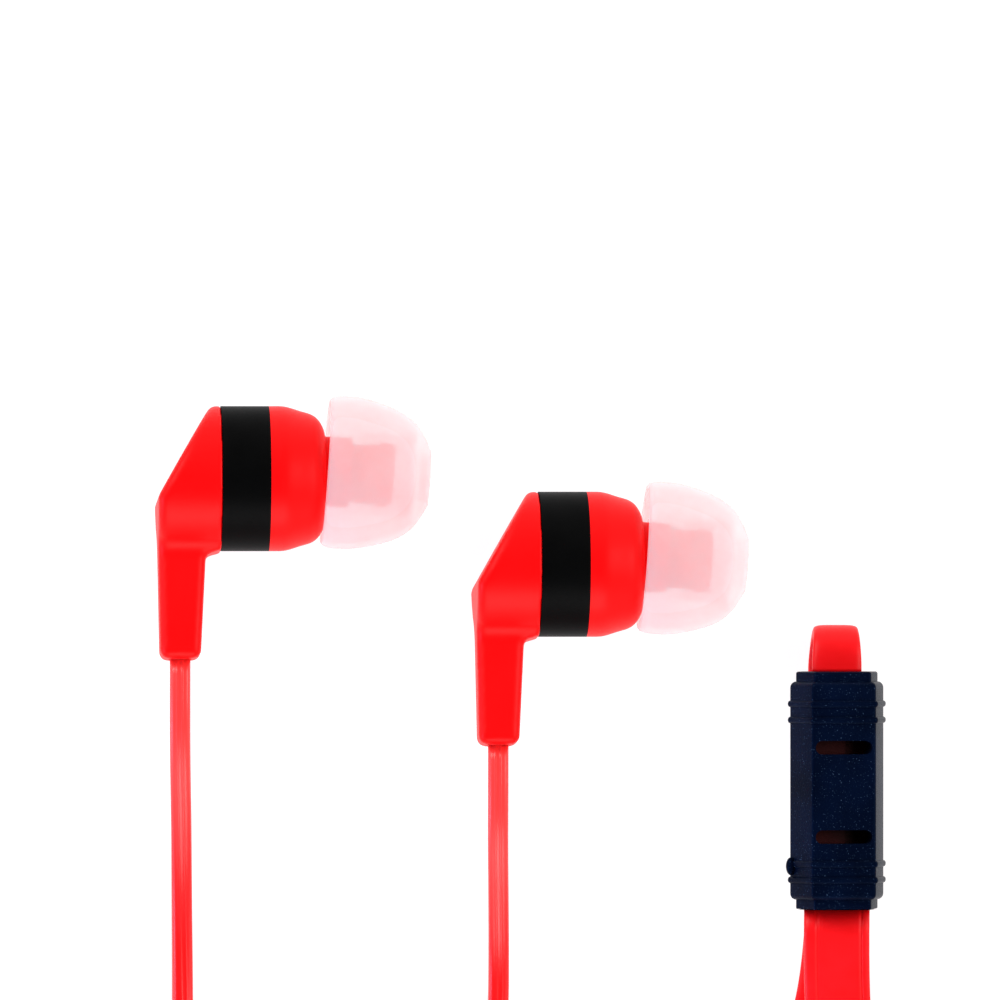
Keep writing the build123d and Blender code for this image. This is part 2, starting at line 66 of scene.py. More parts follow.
# ---- routes of the cords, in millimetres ------------------------------------------------------
LEAD_RUNS = {
    "left": [
        (-21.84, -7.16, 8.3), (-21.84, -10.75, 8.614), (-21.86, -15.2, 7.4), (-21.84, -20.3, 4.5),
        (-21.88, -26.5, 1.9), (-21.84, -34.0, 0.86), (-21.87, -40.0, 0.82), (-21.85, -45.0, 0.82),
    ],
    "right": [
        (3.76, -14.06, 8.3), (3.76, -17.65, 8.614), (3.74, -22.0, 7.3), (3.78, -26.6, 4.2),
        (3.8, -31.2, 1.6), (3.76, -36.5, 0.84), (2.5, -41.0, 0.82), (2.03, -45.0, 0.82),
    ],
}
LEAD_COILS = {"left": (-12.71, -48.0, 7.47, 9.14), "right": (12.4, -47.9, 8.72, 10.39)}
LEAD_TAILS = {
    "left": [
        (-8.5, -56.5, 4.25), (-4.5, -57.0, 3.4), (-0.5, -58.0, 1.9), (4.0, -59.2, 0.95),
        (10.0, -60.9, 0.82), (19.0, -61.6, 0.82), (23.9, -60.4, 0.82), (27.1, -57.8, 0.82),
        (28.9, -54.0, 0.86), (29.2, -49.5, 0.9),
    ],
    "right": [
        (16.5, -57.8, 4.25), (20.2, -58.0, 3.0), (23.2, -56.8, 1.5), (25.6, -54.4, 0.9),
        (26.9, -52.0, 0.84), (27.2, -49.5, 0.9),
    ],
}
TWIN_RUN = [
    (31.1, -8.15, 4.85), (31.1, -6.6, 4.84), (31.08, -5.4, 4.25), (31.04, -4.87, 2.85), (30.98, -5.4, 1.45),
    (30.92, -6.7, 0.86), (30.86, -8.5, 0.85), (30.85, -12.0, 0.84),
    (30.9, -21.0, 0.85), (30.5, -32.0, 0.85), (29.0, -38.6, 0.85), (28.2, -43.5, 0.85),
]
CABLE_RUN = [
    (31.1, -27.35, 4.85), (31.05, -32.5, 4.4), (31.4, -38.5, 3.4), (34.5, -46.5, 2.75), (36.3, -60.0, 2.75),
    (37.2, -71.0, 2.73), (37.5, -84.5, 2.74), (37.5, -94.5, 2.73),
]
CABLE_COIL = (2.0, -99.7, 27.5, 35.5)
CABLE_TURNS = 4
CABLE_TAIL = [
    (29.45, -103.3, 2.72), (26.9, -108.7, 2.74), (21.0, -111.7, 2.85), (13.0, -111.4, 3.3),
    (5.0, -110.9, 4.05), (-2.0, -111.88, 5.0), (-8.08, -114.09, 6.37),
]
FORK_RUN = [(28.2, -43.4, 0.93), (28.2, -45.0, 0.93), (28.2, -47.0, 0.93), (28.2, -49.6, 0.93)]
LEAD_TIE_ANGLE, CABLE_TIE_ANGLE = 330, 180
TIE_THICK = 0.4
TIE_LIFT = 0.45  # a coil's rise over its tie's strap
STRAP_CORNER, STRAP_CLEARANCE, STRAP_LAP = 0.7, 0.07, 0.9
LEAD_STACK_HEIGHT, LEAD_STACK_HALF = 3.35, 0.8
LEAD_STRAP_WIDTH, CABLE_STRAP_WIDTH = 3.0, 6.0
LEAD_LIFT = 0.91  # the least height of a lead's middle, whichever way round its section lies


# ---- meshes -----------------------------------------------------------------------------------
def new_piece(name, vertices, faces, smooth=True):
    """A mesh object in the scene."""
    mesh = bpy.data.meshes.new(name)
    mesh.from_pydata(vertices, [], faces)
    mesh.polygons.foreach_set("use_smooth", [smooth] * len(mesh.polygons))
    piece = bpy.data.objects.new(name, mesh)
    bpy.context.scene.collection.objects.link(piece)
    return piece


def turned(name, profile, place, marks, sides=96):
    """A closed profile of (place along X, radius) turned about X. Its UV map holds each point's mark."""
    vertices, faces, uvs = [], [], []
    for side in range(sides):
        angle = 2 * math.pi * side / sides
        for at, radius in profile:
            vertices.append(place @ Vector((at, radius * math.cos(angle), radius * math.sin(angle))) * MM)
    count = len(profile)
    for side in range(sides):
        here, there = side * count, (side + 1) % sides * count
        for i in range(count):
            k = (i + 1) % count
            faces.append((here + i, here + k, there + k, there + i))
            uvs += [(marks[i], 0), (marks[k], 0), (marks[k], 1), (marks[i], 1)]
    piece = new_piece(name, vertices, faces)
    map_faces(piece, uvs)
    return piece


def map_faces(piece, uvs):
    """Give a piece its UV map, one value for each corner of each face."""
    layer = piece.data.uv_layers.new(name="along")
    layer.data.foreach_set("uv", [value for uv in uvs for value in uv])


def smooth_line(points, steps=6):
    """Points along a smooth curve through the given ones."""
    padded = [points[0], *points, points[-1]]
    line = []
    for a, b, c, d in zip(padded, padded[1:], padded[2:], padded[3:]):
        for i in range(steps):
            t = i / steps
            line.append(tuple(
                0.5 * (2 * q + (r - p) * t + (2 * p - 5 * q + 4 * r - s) * t**2
                       + (3 * q - p - 3 * r + s) * t**3)
                for p, q, r, s in zip(a, b, c, d)
            ))
    return [*line, points[-1]]


# ---- cords ------------------------------------------------------------------------------------
def follow(name, points, resolution):
    """The points of a smooth spline whose control points are given in millimetres."""
    curve = bpy.data.curves.new(name, "CURVE")
    curve.dimensions = "3D"
    spline = curve.splines.new("NURBS")
    spline.points.add(len(points) - 1)
    for point, at in zip(spline.points, points):
        point.co = (at[0] * MM, at[1] * MM, at[2] * MM, 1)
    spline.order_u = 3
    spline.use_endpoint_u = True
    spline.resolution_u = resolution
    holder = bpy.data.objects.new(name, curve)
    bpy.context.scene.collection.objects.link(holder)
    mesh = bpy.data.meshes.new_from_object(holder)
    line = [vertex.co.copy() for vertex in mesh.vertices]
    bpy.data.objects.remove(holder)
    bpy.data.curves.remove(curve)
    bpy.data.meshes.remove(mesh)
    return line


def flat_section(width, thick, squareness, grooves=(), samples=44):
    """A flat cord's section: a squared oval with grooves (place, half width, depth) along both faces."""
    def half_height(x):
        base = thick / 2 * max(0, 1 - abs(2 * x / width) ** squareness) ** (1 / squareness)
        cut = sum(depth * math.exp(-((x - at) / reach) ** 2) for at, reach, depth in grooves)
        return max(0, base - cut)
    xs = [width / 2 * math.cos(math.pi * i / samples) for i in range(samples + 1)]
    return [(x, half_height(x)) for x in xs] + [(x, -half_height(x)) for x in reversed(xs[1:-1])]


def swept(name, line, section, across_at, scale_at=None):
    """A closed tube along a line, whose section's width points along across_at(share of length, heading)."""
    places = [0.0]
    for before, here in zip(line, line[1:]):
        places.append(places[-1] + (here - before).length)
    total, count = places[-1], len(section)
    vertices, faces, uvs = [], [], []
    for i, at in enumerate(line):
        heading = (line[min(i + 1, len(line) - 1)] - line[max(i - 1, 0)]).normalized()
        share = places[i] / total
        across = across_at(share, heading)
        across = (across - heading * across.dot(heading)).normalized()
        rise = heading.cross(across)
        wide, tall = scale_at(share) if scale_at else (1, 1)
        vertices += [at + across * (x * wide * MM) + rise * (y * tall * MM) for x, y in section]
    for i in range(len(line) - 1):
        for j in range(count):
            k = (j + 1) % count
            faces.append((i * count + j, i * count + k, (i + 1) * count + k, (i + 1) * count + j))
            uvs += [(places[i], j / count), (places[i], (j + 1) / count),
                    (places[i + 1], (j + 1) / count), (places[i + 1], j / count)]
    last = (len(line) - 1) * count
    faces += [tuple(range(count - 1, -1, -1)), tuple(range(last, last + count))]
    uvs += [(0, 0)] * count + [(total, 0)] * count
    piece = new_piece(name, vertices, faces)
    map_faces(piece, uvs)
    return piece


def flat_then_turned(turn_at):
    """A width direction that lies level, turned about the heading by turn_at(share of the length)."""
    def across(share, heading):
        level = UP.cross(heading).normalized()
        angle = turn_at(share)
        return level * math.cos(angle) + heading.cross(level) * math.sin(angle)
    return across


def eased(value, start, end):
    """0 before start, 1 after end, and smooth between."""
    t = min(1, max(0, (value - start) / (end - start)))
    return t * t * (3 - 2 * t)


def bump(value, middle, reach):
    """1 in the middle, falling smoothly to 0 at its reach."""
    return 1 - eased(abs(value - middle), 0, reach)


def lead_turns(side):
    """Four and a quarter turns: two side by side on the floor, two on top, the last quarter over them."""
    x, y, inner, outer = LEAD_COILS[side]
    low, high, top, middle = 0.82, 2.5, 3.95, (inner + outer) / 2
    slots = [(outer, low), (inner, low), (inner, high), (outer, high), (middle, top)]
    change_starts, change = (0.85, 1.73, 2.61, 3.49), 0.12
    per_turn = 16
    spread = 1 / math.cos(math.pi / per_turn)  # keeps the spline, which cuts inside its points, on the circle
    tie_turn, tie_reach = (LEAD_TIE_ANGLE - 180) / 360, 0.16
    points = []
    for i in range(int(4.25 * per_turn) + 1):
        turn = i / per_turn
        radius, height = slots[0]
        for start, (next_radius, next_height) in zip(change_starts, slots[1:]):
            share = eased(turn, start, start + change)
            radius += (next_radius - radius) * share
            height += (next_height - height) * share
        height += TIE_LIFT * bump(turn % 1, tie_turn, tie_reach)
        angle = math.pi + 2 * math.pi * turn
        points.append((x + radius * spread * math.cos(angle), y + radius * spread * math.sin(angle), height))
    return points


def cable_turns():
    """Four turns of the ribbon on its edge, from the outside in."""
    x, y, inner, outer = CABLE_COIL
    per_turn = 24
    spread = 1 / math.cos(math.pi / per_turn)
    tie_turn, tie_reach = CABLE_TIE_ANGLE / 360, 0.09
    points = []
    for i in range(CABLE_TURNS * per_turn + 1):
        turn = i / per_turn
        radius = outer + (inner - outer) * turn / CABLE_TURNS
        height = CABLE_SIZE[0] / 2 + FLOOR_GAP + 0.05 + TIE_LIFT * bump(turn % 1, tie_turn, tie_reach)
        angle = -2 * math.pi * turn
        points.append((x + radius * spread * math.cos(angle), y + radius * spread * math.sin(angle), height))
    return points


def ear_lead(side):
    """One lead, from the earpiece's stem through its coil to the fork."""
    points = [*LEAD_RUNS[side], *lead_turns(side), *LEAD_TAILS[side]]
    route = [(x, y, max(z, LEAD_LIFT)) for x, y, z in points]
    line = follow(f"ear_lead_{side}_route", route, 6)
    ridges = [(-0.22, 0.05, -0.06), (0.2, 0.05, -0.06)]
    section = flat_section(*LEAD_SIZE, 3.4, ridges, samples=40)
    drift = math.radians(150)
    piece = swept(f"ear_lead_{side}", line, section,
                  flat_then_turned(lambda share: -drift * eased(share, 0.02, 0.4)))
    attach(piece, "root")
    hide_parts(*[f"ear_lead_{side}_{part}" for part in ("run", "coil", "tail")])
    return piece


def twin_ribbon():
    """The two leads bonded side by side, folded over at the sleeve's top."""
    line = follow("twin_ribbon_route", TWIN_RUN, 12)
    section = flat_section(*TWIN_SIZE, 4.5)
    piece = swept("twin_ribbon", line, section, lambda share, heading: Vector((1, 0, 0)),
                  lambda share: (1.0 - 0.1 * bump(share, 0.1, 0.09), 1.0))
    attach(piece, "root")
    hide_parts("twin_lead")
    return piece


def main_cable():
    """The flat cable: level at the sleeve, on its edge in the coil, and on to the plug."""
    route = [*CABLE_RUN, *cable_turns(), *CABLE_TAIL]
    line = follow("main_cable_route", route, 5)
    grooves = [(-1.6, 0.09, 0.14), (-1.35, 0.05, 0.05), (1.98, 0.09, 0.14)]
    section = flat_section(*CABLE_SIZE, 5, grooves, samples=60)
    run_share = 0.075
    piece = swept("main_cable", line, section,
                  flat_then_turned(lambda share: math.pi / 2 * eased(share, 0.2 * run_share, run_share)))
    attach(piece, "root")
    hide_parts("main_cable_run", "main_cable_coil", "main_cable_tail")
    return piece


def strap(stem, coil, angle, half_thick, height, width):
    """A strap round a coil's turns at one place, with its free end laid over its start."""
    x, y, inner, outer = coil
    turn = math.radians(angle)
    outward = Vector((math.cos(turn), math.sin(turn), 0))
    across = UP.cross(outward)
    side = (outer - inner) / 2 + half_thick + STRAP_CLEARANCE + TIE_THICK / 2
    low, high = TIE_THICK / 2, height + 0.1 + 1.5 * TIE_THICK
    inset, lap = side - STRAP_CORNER, high + 1.05 * TIE_THICK
    outline = [
        (0.1, high), (inset, high), (side, high), (side, high - STRAP_CORNER), (side, low + STRAP_CORNER),
        (side, low), (inset, low), (-inset, low), (-side, low), (-side, low + STRAP_CORNER),
        (-side, high - STRAP_CORNER), (-side, high), (-inset, high), (-0.5, high), (0.4, high + TIE_THICK),
        (side - STRAP_LAP, lap), (side + 0.1, lap),
    ]
    middle = Vector((x, y, 0)) + outward * (inner + outer) / 2
    points = [tuple(middle + outward * out + UP * z) for out, z in outline]
    line = follow(f"{stem}_strap_route", points, 6)
    section = flat_section(width, TIE_THICK * 0.92, 8, samples=24)
    piece = swept(f"{stem}_strap", line, section, lambda share, heading: across)
    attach(piece, "root")
    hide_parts(f"{stem}_tie")
    return piece


def straps():
    """The three straps."""
    made = []
    for side in ("left", "right"):
        made.append(strap(f"ear_lead_{side}", LEAD_COILS[side], LEAD_TIE_ANGLE, LEAD_STACK_HALF,
                          LEAD_STACK_HEIGHT, LEAD_STRAP_WIDTH))
    x, y, inner, outer = CABLE_COIL
    drift = (outer - inner) / CABLE_TURNS / 2  # half a turn from the spiral's ends
    turns = (x, y, inner + drift, outer - drift)
    width, thick = CABLE_SIZE
    made.append(strap("main_cable", turns, CABLE_TIE_ANGLE, thick / 2, width + FLOOR_GAP, CABLE_STRAP_WIDTH))
    return made


def fork():
    """The moulded piece where the bonded ribbon parts into two leads."""
    line = follow("fork_route", FORK_RUN, 10)
    width, thick = 4.3, 1.8
    groove = (0, 0.3, 0.3)  # the dip between the two leads
    section = flat_section(width, thick, 3.6, [groove])

    def scale_at(share):
        rounding = 0.22 * (1 - eased(share, 0, 0.1)) + 0.16 * eased(share, 0.92, 1)
        return 0.96 + 0.08 * share - rounding, 1 - rounding

    piece = swept("fork", line, section, lambda share, heading: Vector((1, 0, 0)), scale_at)
    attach(piece, "root")
    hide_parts("lead_fork")
    return piece


# ---- materials --------------------------------------------------------------------------------
def shader(tree, kind, inputs=(), **settings):
    """A shader node with its settings, and its inputs set or linked."""
    made = tree.nodes.new(kind)
    for key, value in settings.items():
        setattr(made, key, value)
    for key, value in dict(inputs).items():
        if isinstance(value, bpy.types.NodeSocket):
            tree.links.new(value, made.inputs[key])
        else:
            made.inputs[key].default_value = value
    return made


def colour_between(tree, share, low, high, start=0.3, end=0.7):
    """A colour that runs from low to high as share goes from start to end."""
    ramp = shader(tree, "ShaderNodeValToRGB", {"Fac": share})
    for element, place, colour in zip(ramp.color_ramp.elements, (start, end), (low, high)):
        element.position = place
        element.color = (*colour, 1)
    return ramp.outputs["Color"]


def value_between(tree, share, low, high):
    """A number that runs from low to high as share goes from 0 to 1."""
    made = shader(tree, "ShaderNodeMapRange", {"Value": share, "To Min": low, "To Max": high})
    return made.outputs["Result"]


def new_material(name, **inputs):
    """A material with its principled shader, and coordinates in millimetres."""
    material = bpy.data.materials.new(name)
    material.use_nodes = True
    tree = material.node_tree
    principled = tree.nodes["Principled BSDF"]
    for key, value in inputs.items():
        principled.inputs[key.replace("_", " ")].default_value = value
    coordinates = shader(tree, "ShaderNodeTexCoord").outputs["Object"]
    scaled = shader(tree, "ShaderNodeVectorMath", {0: coordinates, 3: 1 / MM}, operation="SCALE")
    return material, tree, principled, scaled.outputs["Vector"]


def noise(tree, place, scale, detail=3.0):
    """Cloudy noise with features of about 1 / scale millimetres."""
    made = shader(tree, "ShaderNodeTexNoise", {"Vector": place, "Scale": scale, "Detail": detail})
    return made.outputs["Fac"]


def add_bump(tree, principled, height, strength, distance_mm):
    """Fine relief from a height between 0 and 1."""
    distance = distance_mm * MM
    made = shader(tree, "ShaderNodeBump", {"Height": height, "Strength": strength, "Distance": distance})
    tree.links.new(made.outputs["Normal"], principled.inputs["Normal"])


def plastic(name, dark, light, roughness, grain=4.0, relief=0.01, **inputs):
    """Moulded plastic or rubber: a slightly uneven colour and gloss, and a fine grain."""
    material, tree, principled, place = new_material(name, **inputs)
    cloud = noise(tree, place, 0.25)
    fine = noise(tree, place, grain, 5.0)
    tree.links.new(colour_between(tree, cloud, dark, light), principled.inputs["Base Color"])
    uneven = value_between(tree, fine, roughness - 0.06, roughness + 0.06)
    tree.links.new(uneven, principled.inputs["Roughness"])
    add_bump(tree, principled, fine, 0.5, relief)
    return material


def metal(name, colour, roughness):
    """Plated metal with fine turned marks and slight stains."""
    material, tree, principled, place = new_material(name, Metallic=1.0)
    stains = noise(tree, place, 0.8)
    marks = noise(tree, place, 9.0, 2.0)
    darker = tuple(0.8 * c for c in colour)
    tree.links.new(colour_between(tree, stains, darker, colour), principled.inputs["Base Color"])
    uneven = value_between(tree, marks, roughness - 0.05, roughness + 0.08)
    tree.links.new(uneven, principled.inputs["Roughness"])
    add_bump(tree, principled, marks, 0.3, 0.01)
    return material


def along(tree):
    """The first value of a piece's UV map: its length so far in metres, or its mark."""
    place = shader(tree, "ShaderNodeUVMap", uv_map="along").outputs["UV"]
    return shader(tree, "ShaderNodeSeparateXYZ", {"Vector": place}).outputs["X"]


def tint(material, share, colour):
    """Mix a colour over a material's base colour, by a share from 0 to 1."""
    tree = material.node_tree
    base = tree.nodes["Principled BSDF"].inputs["Base Color"]
    plain = base.links[0].from_socket
    mixed = shader(tree, "ShaderNodeMix", {"Factor": share, "A": plain, "B": (*colour, 1)}, data_type="RGBA")
    tree.links.new(mixed.outputs["Result"], base)


def silicone():
    """The ear tips' milky, half clear rubber, clearer on the core that grips the nozzle."""
    material, tree, principled, place = new_material(
        "tip_silicone", IOR=1.38, Transmission_Weight=0.1, Subsurface_Weight=0.7, Subsurface_Scale=0.002,
        Subsurface_Radius=(1.0, 0.6, 0.6), Specular_IOR_Level=0.1,
    )
    cloud = noise(tree, place, 0.35)
    pink = colour_between(tree, cloud, (1.0, 0.68, 0.7), (1.0, 0.74, 0.76))
    tree.links.new(pink, principled.inputs["Base Color"])
    tree.links.new(value_between(tree, noise(tree, place, 3.0), 0.45, 0.55), principled.inputs["Roughness"])
    tree.links.new(value_between(tree, along(tree), 0.36, 0.02), principled.inputs["Alpha"])
    add_bump(tree, principled, noise(tree, place, 6.0), 0.2, 0.01)
    return material


def lead_rubber():
    """The ear leads' red rubber, with a painted highlight that makes it paler near the stem."""
    material = plastic("lead_red", (0.9, 0.003, 0.004), (1.0, 0.006, 0.008), 0.33, 6.0,
                       Specular_IOR_Level=0.4)
    tree = material.node_tree
    # Painted highlight: the red is tinted paler from the stem to here, for the light the lead catches as it
    # slopes down from the stem.
    highlight_start, highlight_end = 0.009, 0.018  # metres from the stem
    pale = shader(tree, "ShaderNodeMapRange", {
        "Value": along(tree), "From Min": highlight_start, "From Max": highlight_end, "To Min": 1.0, "To Max": 0.0,
    })
    tint(material, pale.outputs["Result"], (1.0, 0.04, 0.038))
    return material


def sleeve_rubber():
    """The sleeve's blue-black rubber on a dull ground, with tiny pale blue specks painted into its colour as
    glints off its fine grain.
    """
    material = plastic("sleeve_black", (0.0005, 0.0016, 0.007), (0.001, 0.0036, 0.016), 0.3, 7.0, 0.05,
                       Specular_IOR_Level=0.04, Specular_Tint=(0.16, 0.4, 1.0, 1))
    tree = material.node_tree
    coordinates = shader(tree, "ShaderNodeTexCoord").outputs["Object"]
    # Painted glints: where a fine noise runs highest, the base colour is tinted pale blue.
    glint_noise = shader(tree, "ShaderNodeTexNoise", {"Vector": coordinates, "Scale": 9 / MM, "Detail": 1.0})
    painted_glints = shader(tree, "ShaderNodeMapRange", {
        "Value": glint_noise.outputs["Fac"], "From Min": 0.68, "From Max": 0.78,
    })
    tint(material, painted_glints.outputs["Result"], (0.04, 0.07, 0.13))
    return material


def make_materials():
    """Every material, by the record's slot."""
    return {
        "housing_red": plastic("housing_red", (0.9, 0.001, 0.002), (1.0, 0.002, 0.003), 0.42,
                               Specular_IOR_Level=0.1),
        "band_black": plastic("band_black", (0.001, 0.001, 0.001), (0.002, 0.002, 0.002), 0.45,
                              Specular_IOR_Level=0.03),
        "tip_silicone": silicone(),
        "mesh_steel": metal("mesh_steel", (0.55, 0.55, 0.57), 0.35),
        "driver_black": plastic("driver_black", (0.02, 0.02, 0.02), (0.04, 0.04, 0.04), 0.5),
        "driver_steel": metal("driver_steel", (0.6, 0.6, 0.62), 0.3),
        "magnet_nickel": metal("magnet_nickel", (0.72, 0.71, 0.68), 0.18),
        "coil_copper": metal("coil_copper", (0.8, 0.36, 0.2), 0.3),
        "film": plastic("film", (0.7, 0.66, 0.5), (0.82, 0.78, 0.64), 0.25),
        "board_green": plastic("board_green", (0.01, 0.16, 0.05), (0.02, 0.25, 0.08), 0.35),
        "damping_paper": plastic("damping_paper", (0.75, 0.75, 0.7), (0.9, 0.9, 0.87), 0.9, 8.0, 0.03),
        "lead_red": lead_rubber(),
        "cable_red": plastic("cable_red", (0.85, 0.003, 0.005), (0.97, 0.008, 0.013), 0.38, 6.0,
                             Specular_IOR_Level=0.16),
        # Painted shade: the red core seen through the sleeve's slots is coloured far darker than the red
        # cable, for the shade inside the slots.
        "core_red": plastic("core_red", (0.02, 0.001, 0.001), (0.05, 0.001, 0.001), 0.5,
                            Specular_IOR_Level=0.1),
        "sleeve_black": sleeve_rubber(),
        "tie_black": plastic("tie_black", (0.004, 0.004, 0.004), (0.014, 0.014, 0.014), 0.8, 7.0, 0.06),
        "plug_gold": metal("plug_gold", (0.95, 0.66, 0.27), 0.2),
        "insulator_black": plastic("insulator_black", (0.004, 0.004, 0.004), (0.01, 0.01, 0.01), 0.4),
        "plug_black": plastic("plug_black", (0.004, 0.005, 0.008), (0.01, 0.012, 0.018), 0.45, 5.0, 0.02),
    }


def dress(piece, material):
    """Give a piece one material."""
    if piece.data.materials:
        for index in range(len(piece.data.materials)):
            piece.data.materials[index] = material
    else:
        piece.data.materials.append(material)


# ---- earpieces --------------------------------------------------------------------------------
def earpiece_place(side):
    """The earpiece's own frame, in millimetres, found from its band."""
    low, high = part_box(f"band_ring_{side}")
    turn = Matrix.Rotation(PITCH, 4, "Y") @ Matrix.Rotation(-ROLL, 4, "X")
    middle = (low + high) / 2 / MM
    return Matrix.Translation(middle) @ turn @ Matrix.Translation((-BAND_LENGTH / 2, 0, 0))


def rear_shell(side):
    """The rear cover with its moulded edges softened."""
    source = nodes[f"rear_cover_{side}"]
    piece = bpy.data.objects.new(f"rear_shell_{side}", source.data.copy())
    bpy.context.scene.collection.objects.link(piece)
    remesh = piece.modifiers.new("remesh", "REMESH")
    remesh.mode, remesh.voxel_size, remesh.use_smooth_shade = "VOXEL", 0.13 * MM, True
    soften = piece.modifiers.new("soften", "SMOOTH")
    soften.factor, soften.iterations = 0.5, 14
    apply_modifiers(piece)
    piece.data.polygons.foreach_set("use_smooth", [True] * len(piece.data.polygons))
    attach(piece, "root")
    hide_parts(f"rear_cover_{side}")
    return piece


def ear_tip(side):
    """The silicone tip: a thin skirt turned back over a ribbed core."""
    place = earpiece_place(side) @ Matrix.Translation(NOZZLE_AT) @ Matrix.Rotation(NOZZLE_TURN, 4, "Z")
    skirt = smooth_line([(0.12, 5.98), (0.7, 6.14), (2.2, 6.14), (3.7, 5.87), (5.3, 5.37), (6.5, 4.75),
                         (7.3, 4.05), (7.85, 3.2), (8.2, 2.55), (8.36, 2.15), (8.1, 1.9)])
    bore = [(7.0, 1.9), (5.65, 1.9), (5.5, 2.3), (5.5, 2.66), (4.0, 2.66), (2.05, 2.66), (2.05, 2.9),
            (1.2, 2.9), (0.3, 2.9), (0.2, 3.0)]
    lining = smooth_line([(0.25, 3.2), (0.5, 3.3), (2.0, 3.3), (4.4, 3.3), (6.0, 3.32), (6.85, 3.5),
                          (7.05, 3.75), (6.9, 4.0), (6.2, 4.5), (5.1, 5.0), (3.6, 5.44), (2.1, 5.68),
                          (0.7, 5.7), (0.12, 5.6), (-0.06, 5.79)])
    core_end, fade_length, bore_mark = 31, 5.6, 0.7  # the core's points come first in the lining
    fading = [1 - eased(at, 0.0, fade_length) for at, _ in lining[:core_end]]
    marks = [0] * len(skirt) + [bore_mark] * len(bore) + fading + [0] * (len(lining) - core_end)
    piece = turned(f"tip_{side}", [*skirt, *bore, *lining], place, marks)
    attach(piece, f"ear_tip_{side}")
    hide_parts(f"ear_tip_{side}")
    return piece


# ---- black sleeve -----------------------------------------------------------------------------
SLEEVE_ROLL = math.radians(11)
SLEEVE_LENGTH, NECK_LENGTH = 19.2, 0.8
SLEEVE_HALF_WIDTH, SLEEVE_HALF_THICK, PANEL_HALF_WIDTH = 3.87, 2.75, 2.6
RIB_PLACES, RIB_REACH, RIB_HEIGHT = (7.0, 5.7, -5.9, -7.2), 0.27, 0.2
SLOT_PLACES, SLOT_SIZE, SLOT_FLOOR = (3.5, -3.7), (4.7, 1.1), 0.35
NECK_GROWTH, SHOULDER_DEPTH = -0.48, 0.5
ARRIS_RADIUS, SEAM_INSET, SEAM_GAP = 0.26, 0.22, 0.01
CATCH_PLACE, CATCH_SIZE = (-SLEEVE_HALF_WIDTH - 0.02, -6.1, 0.3), (0.38, 0.72, 0.42)


def rounded_ring(corners, radius, steps=6):
    """A closed outline with each corner rounded by an arc, which starts in the middle of the first arc."""
    ring = []
    for before, here, after in zip([corners[-1], *corners], corners, [*corners[1:], corners[0]]):
        here = Vector(here)
        back, on = (Vector(before) - here).normalized(), (Vector(after) - here).normalized()
        half_angle = back.angle(on) / 2
        middle = here + (back + on).normalized() * (radius / math.sin(half_angle))
        setback = radius / math.tan(half_angle)
        start, end = here + back * setback, here + on * setback
        for i in range(steps + 1):
            between = (start - middle).lerp(end - middle, i / steps).normalized() * radius
            ring.append(middle + between)
    return [*ring[steps // 2:], *ring[:steps // 2]]


def sleeve_growth():
    """(place along the sleeve, growth of its section) from the top down: necks, round shoulders and ribs."""
    end, shoulder = SLEEVE_LENGTH / 2, SLEEVE_LENGTH / 2 - NECK_LENGTH
    top = [(end, -2.0), (end, -0.62), (end - 0.06, -0.52)]
    top += [(end - 0.14, NECK_GROWTH), (shoulder + 0.02, NECK_GROWTH)]
    for i in range(7):
        angle = math.pi / 2 * i / 6
        top.append((shoulder - SHOULDER_DEPTH * (1 - math.cos(angle)), NECK_GROWTH * (1 - math.sin(angle))))
    ribs = []
    for rib in RIB_PLACES:
        for i in range(11):
            share = i / 5 - 1
            ribs.append((rib - share * RIB_REACH, RIB_HEIGHT * math.sqrt(max(0, 1 - share * share))))
    bottom = [(-y, grow) for y, grow in top]
    return sorted(top + ribs + bottom, key=lambda station: -station[0])


def sleeve_half(name, front):
    """One shell of the sleeve, closed along the joint between the two."""
    low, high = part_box("sleeve_back_shell")[0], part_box("sleeve_front_shell")[1]
    place = Matrix.Translation((low + high) / 2 / MM) @ Matrix.Rotation(SLEEVE_ROLL, 4, "Y")
    vertices, faces = [], []
    stations = sleeve_growth()
    for y, grow in stations:
        width, thick = SLEEVE_HALF_WIDTH + grow, SLEEVE_HALF_THICK + grow
        panel = PANEL_HALF_WIDTH + 0.6 * grow
        ring = rounded_ring([(width, 0), (panel, thick), (-panel, thick), (-width, 0), (-panel, -thick),
                             (panel, -thick)], ARRIS_RADIUS)
        half = len(ring) // 2
        arc = ring[1:half] if front else ring[half + 1:]
        sign = 1 if front else -1
        seam = sign * (width - SEAM_INSET)
        outline = [(seam, sign * SEAM_GAP), *arc, (-seam, sign * SEAM_GAP)]
        vertices += [place @ Vector((x, y, z)) * MM for x, z in outline]
    count = len(outline)
    for i in range(len(stations) - 1):
        for j in range(count):
            k = (j + 1) % count
            faces.append((i * count + j, i * count + k, (i + 1) * count + k, (i + 1) * count + j))
    last = (len(stations) - 1) * count
    faces += [tuple(range(count - 1, -1, -1)), tuple(range(last, last + count))]
    piece = new_piece(name, vertices, faces)
    if front:
        for i, y in enumerate(SLOT_PLACES):
            cut_slot(piece, place @ Matrix.Translation((0, y, 0)), f"slot_{i}")
        add_catch(piece, place)
    piece.data.set_sharp_from_angle(angle=math.radians(40))
    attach(piece, "root")
    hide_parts("sleeve_front_shell" if front else "sleeve_back_shell")
    return piece


